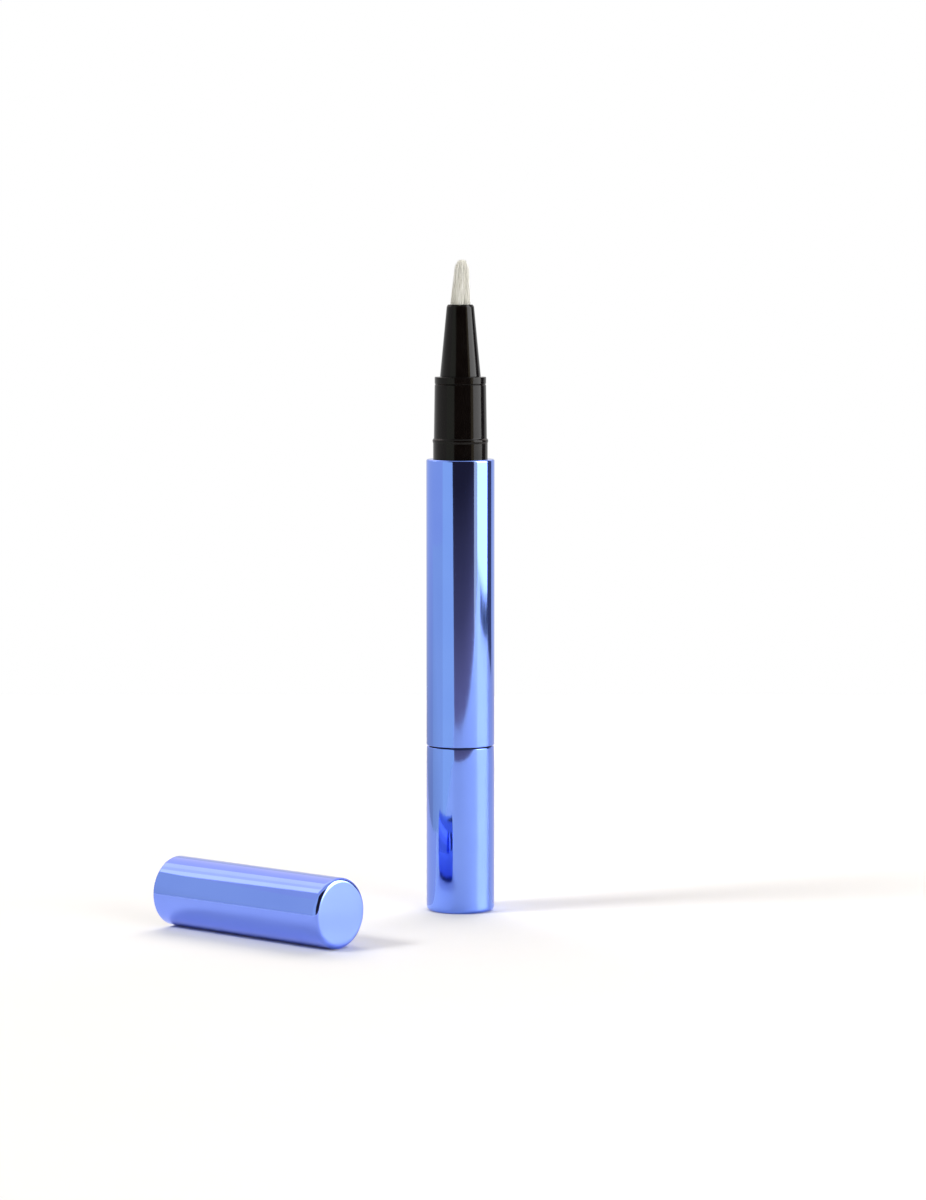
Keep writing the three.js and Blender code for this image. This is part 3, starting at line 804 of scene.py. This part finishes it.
@dataclass
class Brush(SubAssembly):
    """Tuft of fine filaments on a backing disc, drawn in a little towards its domed tip."""

    strands: int = 900
    strand_sides: int = 5
    root_width: float = 0.042
    tip_width: float = 0.016
    taper_power: float = 3.0
    ring_shares: tuple[float, ...] = (0.0, 0.2, 0.4, 0.6, 0.8, 0.95, 1.0)
    fineness: float = 0.65
    fineness_power: float = 2.0
    outer: float = 1.87
    inner: float = 0.7
    draw_in: float = 0.033
    close_from: float = 1.9
    close_to: float = 5.2
    tip_drop: float = 0.2
    shoulder_drop: float = 1.15
    dome_power: float = 3.0
    bend: Point = (0.21, 0.18)
    uneven: float = 0.75
    splay: float = 0.14
    clumps: int = 22
    gather: float = 0.42
    backing: float = 1.0
    backing_hole: float = 0.62
    backing_round: float = 0.05
    backing_sides: int = 64
    set_in: float = 0.25
    seed: int = 11

    def build(self) -> None:
        """Grow every filament from the backing disc."""
        low, high = box_mm("brush_bristles")
        face = box_mm("nozzle")[1].z
        root = low.z + self.backing
        chance = random.Random(self.seed)
        shape = bmesh.new()
        self.add_backing(shape, low.z, root, high.x)
        for index, share in enumerate(even_shares(self.strands)):
            angle = index * GOLDEN_ANGLE
            drop = self.tip_drop + self.shoulder_drop * share**self.dome_power
            tip = high.z - drop - chance.uniform(0, self.uneven)
            lean = Vector((chance.uniform(-1, 1), chance.uniform(-1, 1), 0)) * self.splay
            end = self.spot(share, angle, tip, face)
            lean += (self.clump(end, face) - end) * self.gather + Vector((*self.bend, 0))
            path = [
                self.spot(share, angle, height, face) + lean * max(0.0, (height - face) / (tip - face))
                for height in self.heights(root, face, tip)
            ]
            self.add_strand(shape, path, 1 - self.fineness * share**self.fineness_power)
        self.add(finished_mesh(shape, "brush_tuft"), Body.BARREL, IVORY_NYLON, "brush_bristles")

    def heights(self, root: float, face: float, tip: float) -> list[float]:
        """Heights of a filament's rings: one in the backing, then from the nozzle's mouth to its tip."""
        return [root - self.set_in] + [face + (tip - face) * share for share in self.ring_shares]

    def spot(self, share: float, angle: float, height: float, face: float) -> Vector:
        """Place of a filament at a height.

        Args:
            share: Share of all filaments that lie nearer to the axis.
            angle: Its angle round the axis.
            height: Height up the pen.
            face: Height of the nozzle's mouth.

        Returns:
            The place in millimetres.
        """
        out = height - face
        thinned = math.sqrt(1 - math.sqrt(1 - share))
        ringed = self.inner + thinned * (self.outer - self.inner)
        closed = thinned * self.outer
        closing = eased((out - self.close_from) / (self.close_to - self.close_from))
        radius = (ringed + (closed - ringed) * closing) * (1 - self.draw_in * max(0.0, out))
        return polar(radius, angle, height)

    def clump(self, end: Vector, face: float) -> Vector:
        """Middle of the clump that a filament's end belongs to.

        Args:
            end: Place of the filament's end.
            face: Height of the nozzle's mouth.

        Returns:
            The middle at the same height, in millimetres.
        """
        shares = enumerate(even_shares(self.clumps))
        middles = [self.spot(share, index * GOLDEN_ANGLE, end.z, face) for index, share in shares]
        return min(middles, key=lambda middle: (middle - end).length)

    def add_strand(self, shape: BMesh, path: list[Vector], stout: float) -> None:
        """Add one filament along a path, tapered over its upper part.

        Args:
            shape: The tuft so far.
            path: Places along the filament.
            stout: Its share of the full thickness.
        """
        rings = []
        for index, place in enumerate(path):
            taper = (index / (len(path) - 1)) ** self.taper_power
            width = (self.root_width + (self.tip_width - self.root_width) * taper) * stout
            arms = (polar(width, turn, 0.0) for turn in turns(self.strand_sides))
            rings.append([shape.verts.new(place + arm) for arm in arms])
        for lower, upper in zip(rings, rings[1:]):
            skin(shape, lower, upper)
        shape.faces.new(rings[-1])
        shape.faces.new(rings[0][::-1])

    def add_backing(self, shape: BMesh, foot: float, top: float, radius: float) -> None:
        """Add the disc that the filaments are set in.

        Args:
            shape: The tuft so far.
            foot: Height of its lower face.
            top: Height of its upper face.
            radius: Its outer radius.
        """
        places = [(self.backing_hole, foot), (radius, foot), (radius, top), (self.backing_hole, top)]
        outline = Outline(*(Corner(*place, self.backing_round) for place in places))
        mesh = outline.turned("brush_backing", self.backing_sides)
        mesh.transform(Matrix.Scale(1 / MM, 4))
        shape.from_mesh(mesh)
        bpy.data.meshes.remove(mesh)


@dataclass
class TwistBase(MetalPart):
    """Metal cup that turns, with its core and the ratchet inside."""

    rim_taper: float = 0.068
    rim_height: float = 4.0
    rim_steps: int = 12

    def build(self) -> None:
        """Build the cup and dress what it holds."""
        low, high = box_mm("knob_shell")
        outline = self.cup(high.x, low.z, low.z + self.end, *self.rim(high.x, high.z))
        self.add(outline.turned("base_cup", METAL_SIDES), Body.KNOB, UPRIGHT_BLUE, "knob_shell")
        self.dress(SATIN_BLACK, "knob_core")
        self.dress(SATIN_GREY, "ratchet_crown")
        self.dress(STEEL, "ratchet_spring", "snap_ring")

    def rim(self, radius: float, top: float) -> list[Corner]:
        """Draw the cup's upper part in a little, by a slow sweep.

        Args:
            radius: The cup's radius below the rim.
            top: Height of the rim.

        Returns:
            Corners from the start of the sweep to the rim.
        """
        corners = []
        for step in range(self.rim_steps + 1):
            share = step / self.rim_steps
            height = top + (share - 1) * self.rim_height
            edge = self.rim_round if step == self.rim_steps else 0.0
            corners.append(Corner(radius - self.rim_taper * share**2, height, edge))
        return corners


@dataclass
class Feed(SubAssembly):
    """Screw and piston that push the serum up."""

    def build(self) -> None:
        """Dress the screw and the piston."""
        self.dress(NATURAL_WHITE, "spindle", "piston")


@dataclass
class Cap(MetalPart):
    """Metal cap on its side, with its lining and gasket."""

    liner_radius: float = 5.69
    bore: float = 5.04
    groove: float = 5.16
    groove_foot: float = 2.9
    groove_width: float = 0.9
    step_depth: float = 15.9
    step: float = 1.3
    deep_bore: float = 3.95
    liner_wall: float = 0.8
    liner_flange: float = 1.8
    liner_end: float = 1.0
    mouth_round: float = 0.25
    deep_round: float = 0.3

    def build(self) -> None:
        """Build the cup and its lining with the mouth at height 0, lay them down and dress the gasket."""
        low, high = box_mm("cap_shell")
        axis = (low + high) / 2
        laid = Matrix.Rotation(math.pi / 2, 4, "Y")
        where = Matrix.Translation((low.x, axis.y, axis.z)) @ laid
        radius = (high.z - low.z) / 2
        length = high.x - low.x
        outline = self.cup(radius, length, length - self.end, Corner(radius, 0.0, self.rim_round))
        self.add(outline.turned("cap_cup", METAL_SIDES, where), Body.CAP, LYING_BLUE, "cap_shell")
        self.build_liner(low.x, where)
        self.dress(RUBBER, "cap_gasket")

    def build_liner(self, mouth: float, where: Matrix) -> None:
        """Build the lining, with its groove for the neck's bead and its narrower inner bore.

        Args:
            mouth: Place of the cap's mouth along its axis.
            where: How it is laid down.
        """
        low, high = box_mm("cap_liner")
        top = high.x - mouth
        lip = low.x - mouth
        sleeve = self.deep_bore + self.liner_wall
        step_top = self.step_depth + self.step
        groove_flank = self.groove_width / 3
        outline = Outline(
            Corner(0.0, top),
            Corner(self.liner_radius, top, self.edge_round),
            Corner(self.liner_radius, top - self.liner_flange, self.edge_round),
            Corner(sleeve, top - self.liner_flange),
            Corner(sleeve, step_top),
            Corner(self.liner_radius, step_top, self.edge_round),
            Corner(self.liner_radius, lip, self.edge_round),
            Corner(self.bore, lip, self.mouth_round),
            Corner(self.bore, self.groove_foot, self.edge_round),
            Corner(self.groove, self.groove_foot + groove_flank, self.edge_round),
            Corner(self.groove, self.groove_foot + 2 * groove_flank, self.edge_round),
            Corner(self.bore, self.groove_foot + self.groove_width, self.edge_round),
            Corner(self.bore, self.step_depth),
            Corner(self.deep_bore, self.step_depth, self.edge_round),
            Corner(self.deep_bore, top - self.liner_end, self.deep_round),
            Corner(0.0, top - self.liner_end),
        )
        self.add(outline.turned("cap_lining", where=where), Body.CAP, SATIN_BLACK, "cap_liner")


@dataclass(frozen=True)
class Reflector:
    """A flat shape that only mirrors show. Its corners are to the right of, beyond and above the pen."""

    CEILING_SIDE = 2500.0
    CEILING_UP = 900.0
    FLOOR_GAP = 0.2

    name: str
    corners: tuple[Triple, ...]
    colour: Colour
    levels: tuple[float, ...]

    @staticmethod
    def upright(
        name: str, ends: tuple[Point, Point], heights: Pair, colour: Colour, levels: Pair
    ) -> "Reflector":
        """Stand a reflector on a straight line across the floor.

        Args:
            name: Name of the reflector.
            ends: Both ends of its line, to the right of and beyond the pen.
            heights: Heights of its lower and upper edge.
            colour: Colour of its light.
            levels: How bright its lower and upper edge are, where 1 is white.

        Returns:
            The reflector.
        """
        (x0, y0), (x1, y1) = ends
        foot, top = heights
        low, high = levels
        corners = ((x0, y0, foot), (x1, y1, foot), (x1, y1, top), (x0, y0, top))
        return Reflector(name, corners, colour, (low, low, high, high))

    @staticmethod
    def overhead(name: str, reach: Pair, colour: Colour, level: float) -> "Reflector":
        """Hang a wide level reflector high over the floor.

        Args:
            name: Name of the reflector.
            reach: How far its front and back edge are beyond the pen.
            colour: Colour of its light.
            level: How bright it is, where 1 is white.

        Returns:
            The reflector.
        """
        side, up = Reflector.CEILING_SIDE, Reflector.CEILING_UP
        front, back = reach
        corners = ((-side, front, up), (side, front, up), (side, back, up), (-side, back, up))
        return Reflector(name, corners, colour, (level,) * len(corners))

    @staticmethod
    def lying(
        name: str, outline: tuple[Point, ...], colour: Colour, levels: tuple[float, ...]
    ) -> "Reflector":
        """Lay a reflector just above the floor, its outline to the right of and beyond the pen."""
        corners = tuple((right, away, Reflector.FLOOR_GAP) for right, away in outline)
        return Reflector(name, corners, colour, levels)


@dataclass
class Studio:
    """Floor, light and camera. Places are right, away and up as the camera sees them, in millimetres."""

    turn: float = math.radians(41.05)
    camera_distance: float = 745.6
    camera_height: float = 121.63
    camera_pitch: float = 0.0861139
    camera_swing: float = -0.00064
    camera_lens: float = 122.466
    sensor: float = 36.0
    floor_left: float = -800.0
    floor_right: float = 1100.0
    floor_back: float = 361.0
    front_left: float = -194.0
    front_right: float = -450.0
    floor_colour: Colour = (0.965, 0.965, 0.965)
    floor_shade: Colour = (0.95, 0.95, 0.95)
    floor_cloud: Triple = (40.0, 40.0, 40.0)
    floor_detail: float = 3.0
    floor_smooth: float = 0.46
    floor_rough: float = 0.54
    floor_gloss: float = 0.36
    floor_glow: float = 0.1
    # reach and samples of the floor's painted contact shade
    contact_shade: float = 6.0
    contact_shade_samples: int = 4
    fade_reach: Pair = (220.0, 650.0)
    fill: float = 0.2
    fill_colour: Colour = (1.0, 0.94, 0.885)
    room: float = 0.84
    key_sun: float = 1.48
    key_height: float = math.radians(44)
    key_side: float = math.radians(19.5)
    key_spread: float = math.radians(17)
    soft_power: float = 20.5
    soft_width: float = 1700.0
    soft_depth: float = 1000.0
    soft_place: Triple = (120.0, 1050.0, 1200.0)
    front_power: float = 7.6
    front_size: float = 700.0
    front_place: Triple = (520.0, -800.0, 150.0)
    front_corner: Point = (575.0, -536.0)
    slit_end: Point = (690.0, -415.0)
    card_top: float = 900.0

    def spot(self, right: float, away: float, up: float) -> Vector:
        """A place in the CAD model's frame in metres, from millimetres as the camera sees them."""
        return Matrix.Rotation(self.turn, 3, "Z") @ Vector((right, away, up)) * MM

    def build(self) -> None:
        """Set the camera, floor, lamps, reflectors and world."""
        self.set_camera()
        self.lay_floor()
        self.hang_key()
        self.hang_soft_box()
        self.hang_front_lamp()
        for side in (self.left_side, self.front_side, self.right_side, self.behind, self.ceiling):
            for reflector in side():
                self.show_to_mirrors(reflector)
        self.light_world()

    def left_side(self) -> list[Reflector]:
        """List the pale panels at the left, the nearest one with a slanted front edge.

        Returns:
            The reflectors, from the front back.
        """
        plane, top = -108.0, 60.0
        front, seam, fold, back = -290.0, -60.0, 30.0, 260.0
        nearest = ((front, 0.0), (seam, 0.0), (seam, 140.0), (-215.0, 140.0), (-215.0, 72.0))
        middle = ((seam, 0.0), (fold, 0.0), (fold, top), (seam, top))
        farther = ((fold, 0.0), (back, 0.0), (back, top), (fold, top))
        panels = (
            ("left_front_panel", nearest, (0.98, 1.09, 0.98), (0.95,) * len(nearest)),
            ("left_panel", middle, (1.0, 1.07, 0.99), (self.room, 0.66, self.room, self.room)),
            ("left_back_panel", farther, WHITE, (0.54, 0.5, self.room, self.room)),
        )
        made = []
        for name, outline, colour, levels in panels:
            corners = tuple((plane, away, up) for away, up in outline)
            made.append(Reflector(name, corners, colour, levels))
        return made

    def front_side(self) -> list[Reflector]:
        """List the dark front, which gets paler towards the floor, and the slit of light at its right.

        Returns:
            The reflectors, from the top down.
        """
        line = ((-480.0, -430.0), self.front_corner)
        slit = (self.front_corner, self.slit_end)
        tint, warm = (1.25, 0.85, 0.9), (1.3, 1.12, 0.75)
        dark, dim, pale, palest = 0.036, 0.16, 0.52, 0.55
        bands = (
            ("front_high", (50, self.card_top), (dark, dark)),
            ("front_middle", (10, 50), (dim, dark)),
            ("front_low", (-40, 10), (pale, dim)),
            ("front_ground", (-600, -40), (palest, pale)),
        )
        made = [Reflector.upright(name, line, heights, tint, levels) for name, heights, levels in bands]
        made.append(Reflector.upright("slit_card", slit, (-60, self.card_top), warm, (1.0, 1.0)))
        return made

    def right_side(self) -> list[Reflector]:
        """List the bright strip, the dark gap at its foot and the dark corner behind it.

        Returns:
            The reflectors.
        """
        line = (self.slit_end, (642.0, 148.0))
        corner = ((530.0, 122.0), (330.0, 258.0))
        gap = ((567.0, -203.0), (690.0, -247.0), (640.0, 208.0), (513.0, 167.0))
        dusk = (0.9, 0.8, 1.0)
        bands = (
            ("strip_low", (3.5, 58), 3.2),
            ("strip_middle", (58, 120), 5.4),
            ("strip_high", (120, self.card_top), 7.0),
        )
        made = [Reflector.lying("strip_gap", gap, (0.8, 0.85, 1.0), (0.12,) * len(gap))]
        for name, heights, level in bands:
            made.append(Reflector.upright(name, line, heights, WHITE, (level, level)))
        made.append(Reflector.upright("corner_card", corner, (0, self.card_top), dusk, (0.14, 0.14)))
        return made

    def behind(self) -> list[Reflector]:
        """List the sheet of painted shade on the floor behind the pen, which darkens the edges of the
        metal.

        Returns:
            The reflectors.
        """
        left, right, back = -106.0, 480.0, 360.0
        near = ((right, 175.0), (12.0, 4.4), (0.0, 9.0), (-12.0, -0.4), (left, -3.7))
        far = ((left, back), (right, back))
        # Painted shade: a dim glowing sheet, shown only to mirrors, stands in for the floor's shade
        # behind the pen.
        levels = (0.95, 0.86, 0.84, 0.88, 0.88, 0.72, 0.72)
        return [Reflector.lying("shaded_floor", near + far, (1.05, 0.98, 1.0), levels)]

    def ceiling(self) -> list[Reflector]:
        """List the bands of the bright ceiling behind the pen.

        Returns:
            The reflectors, from the front back.
        """
        tint = (1.07, 0.965, 0.95)
        bands = (
            ("ceiling_edge", (270, 420), 2.0),
            ("ceiling_seam", (420, 540), 1.5),
            ("ceiling_middle", (540, 780), 1.75),
            ("ceiling_back", (780, 2200), 1.15),
        )
        return [Reflector.overhead(name, reach, tint, level) for name, reach, level in bands]

    def set_camera(self) -> None:
        """Put the camera where the photograph was taken from."""
        data = bpy.data.cameras.new("camera")
        data.sensor_width = self.sensor
        data.lens = self.camera_lens
        camera = add_object(data)
        camera.location = self.spot(0, -self.camera_distance, self.camera_height)
        camera.rotation_euler = (math.pi / 2 - self.camera_pitch, 0, self.turn + self.camera_swing)
        bpy.context.scene.camera = camera
        log.info("camera at %s", tuple(round(value, 4) for value in camera.location))

    def lay_floor(self) -> None:
        """Lay the pale table top, with a front edge a little out of square to the camera."""
        corners = [
            self.spot(self.floor_left, self.front_left, 0),
            self.spot(self.floor_right, self.front_right, 0),
            self.spot(self.floor_right, self.floor_back, 0),
            self.spot(self.floor_left, self.floor_back, 0),
        ]
        self.show("floor", corners, self.floor_material())

    def floor_material(self) -> Material:
        """Make the floor: a semi-gloss white, and for the camera a matt one that fades into white, with
        painted contact shade.

        Returns:
            The material.
        """
        board = NodeBoard("pale_floor")
        cloud = board.noise(self.floor_cloud, self.floor_detail)
        white = board.blend(cloud, self.floor_colour, self.floor_shade)
        board.feed(white, "Base Color")
        board.feed(board.spread(cloud, self.floor_smooth, self.floor_rough), "Roughness")
        board.constant(Specular_IOR_Level=self.floor_gloss)
        matt = board.add("ShaderNodeBsdfDiffuse")
        board.link(white, matt.inputs["Color"])
        # Painted contact shade: ambient occlusion dims the camera's white glow where the floor meets the
        # pieces.
        contact_shade = board.add("ShaderNodeAmbientOcclusion", Color=(1, 1, 1, 1), Distance=self.contact_shade * MM)
        contact_shade.samples = self.contact_shade_samples
        glow = board.add("ShaderNodeEmission", Strength=1.0)
        board.link(contact_shade.outputs["Color"], glow.inputs["Color"])
        lifted = board.mix(self.floor_fade(board), matt.outputs[0], glow.outputs[0])
        rays = board.add("ShaderNodeLightPath")
        seen = board.mix(rays.outputs["Is Camera Ray"], board.shader.outputs[0], lifted)
        board.link(seen, board.tree.nodes["Material Output"].inputs["Surface"])
        return board.material

    def floor_fade(self, board: NodeBoard) -> NodeSocket:
        """Share of the backdrop's white in the floor, which grows away from the pen.

        Args:
            board: The floor's material.

        Returns:
            The socket of the share.
        """
        where = board.add("ShaderNodeTexCoord")
        reach = board.add("ShaderNodeVectorMath")
        reach.operation = "LENGTH"
        board.link(where.outputs["Object"], reach.inputs[0])
        near, far = (distance * MM for distance in self.fade_reach)
        fade = board.add("ShaderNodeMapRange", From_Min=near, From_Max=far, To_Min=self.floor_glow)
        board.link(reach.outputs["Value"], fade.inputs["Value"])
        return fade.outputs["Result"]

    def show(self, name: str, corners: list[Vector], material: Material) -> Object:
        """Add a flat shape to the stage, which isn't part of the pen.

        Args:
            name: Name of the shape.
            corners: Its corners in order, in metres.
            material: What it is made of.

        Returns:
            Its object.
        """
        mesh = bpy.data.meshes.new(name)
        mesh.from_pydata(corners, [], [tuple(range(len(corners)))])
        mesh.materials.append(material)
        thing = add_object(mesh)
        log.info("%s on the stage", name)
        return thing

    def show_to_mirrors(self, reflector: Reflector) -> None:
        """Put up a reflector that only mirror reflections show.

        Args:
            reflector: Its place and its light.
        """
        board = NodeBoard(reflector.name)
        board.constant(Base_Color=(0, 0, 0, 1), Specular_IOR_Level=0.0)
        board.constant(Emission_Color=(*reflector.colour, 1))
        level = board.add("ShaderNodeAttribute")
        level.attribute_name = "level"
        board.feed(level.outputs["Fac"], "Emission Strength")
        corners = [self.spot(*corner) for corner in reflector.corners]
        thing = self.show(reflector.name, corners, board.material)
        thing.data.attributes.new("level", "FLOAT", "POINT").data.foreach_set("value", reflector.levels)
        thing.visible_camera = False
        thing.visible_diffuse = False
        thing.visible_transmission = False
        thing.visible_volume_scatter = False
        thing.visible_shadow = False

    def hang_key(self) -> None:
        """Shine the key light from high at the left, which throws the shadows to the right."""
        flat = math.cos(self.key_height)
        left = flat * math.cos(self.key_side)
        near = flat * math.sin(self.key_side)
        place = self.spot(-left, -near, math.sin(self.key_height))
        data = self.hang("key_light", LampKind.SUN, self.key_sun, place.normalized())
        data.angle = self.key_spread

    def hang_soft_box(self) -> None:
        """Hang the wide soft box high behind the pen, which shades the floor in front of the pieces."""
        data = self.hang("soft_box", LampKind.AREA, self.soft_power, self.spot(*self.soft_place))
        data.shape = "RECTANGLE"
        data.size = self.soft_width * MM
        data.size_y = self.soft_depth * MM
        data.color = self.fill_colour

    def hang_front_lamp(self) -> None:
        """Hang the round lamp beside the camera, which lifts the upright faces."""
        data = self.hang("front_lamp", LampKind.AREA, self.front_power, self.spot(*self.front_place))
        data.shape = "DISK"
        data.size = self.front_size * MM

    def hang(self, name: str, kind: LampKind, strength: float, place: Vector) -> Light:
        """Hang a lamp that looks at the pen and doesn't show in mirrors.

        Args:
            name: Name of the lamp.
            kind: Type of the lamp.
            strength: How strong it is, in the unit of its type.
            place: Where it hangs, in metres.

        Returns:
            The lamp's light.
        """
        data = bpy.data.lights.new(name, kind.value)
        data.energy = strength
        lamp = add_object(data)
        lamp.location = place
        lamp.rotation_euler = (self.spot(0, 0, 0) - place).to_track_quat("-Z", "Y").to_euler()
        lamp.visible_glossy = False
        lamp.visible_camera = False
        log.info("%s at strength %.2f", name, strength)
        return data

    def light_world(self) -> None:
        """Light the room: a soft warm fill, white behind the pen, and an even room in mirrors."""
        world = bpy.data.worlds.new("studio")
        bpy.context.scene.world = world
        world.use_nodes = True
        nodes, links = world.node_tree.nodes, world.node_tree.links
        nodes.clear()
        white = self.background(nodes, WHITE, 1.0)
        room = self.background(nodes, WHITE, self.room)
        shown = self.background(nodes, self.fill_colour, self.fill)
        rays = nodes.new("ShaderNodeLightPath")
        lights = (("Is Transmission Ray", white), ("Is Glossy Ray", room), ("Is Camera Ray", white))
        for kind, light in lights:
            chosen = nodes.new("ShaderNodeMixShader")
            links.new(rays.outputs[kind], chosen.inputs[0])
            links.new(shown.outputs[0], chosen.inputs[1])
            links.new(light.outputs[0], chosen.inputs[2])
            shown = chosen
        output = nodes.new("ShaderNodeOutputWorld")
        links.new(shown.outputs[0], output.inputs["Surface"])

    @staticmethod
    def background(nodes: Nodes, colour: Colour, strength: float) -> Node:
        """Add an even light to the world's nodes.

        Args:
            nodes: The world's nodes.
            colour: Colour of the light.
            strength: How strong it is, where 1 is white.

        Returns:
            The new node.
        """
        node = nodes.new("ShaderNodeBackground")
        NodeBoard.set_sockets(node, {"Color": (*colour, 1), "Strength": strength})
        return node


def main() -> None:
    """Build the pen's parts in order, then the studio."""
    logging.basicConfig(level=logging.INFO, format="%(name)s: %(message)s")
    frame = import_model()
    bpy.context.scene.view_settings.view_transform = "Standard"
    for part in (Barrel, Brush, TwistBase, Feed, Cap):
        part(frame["nodes"]).build()
    Studio().build()


if __name__ == "__main__":
    main()
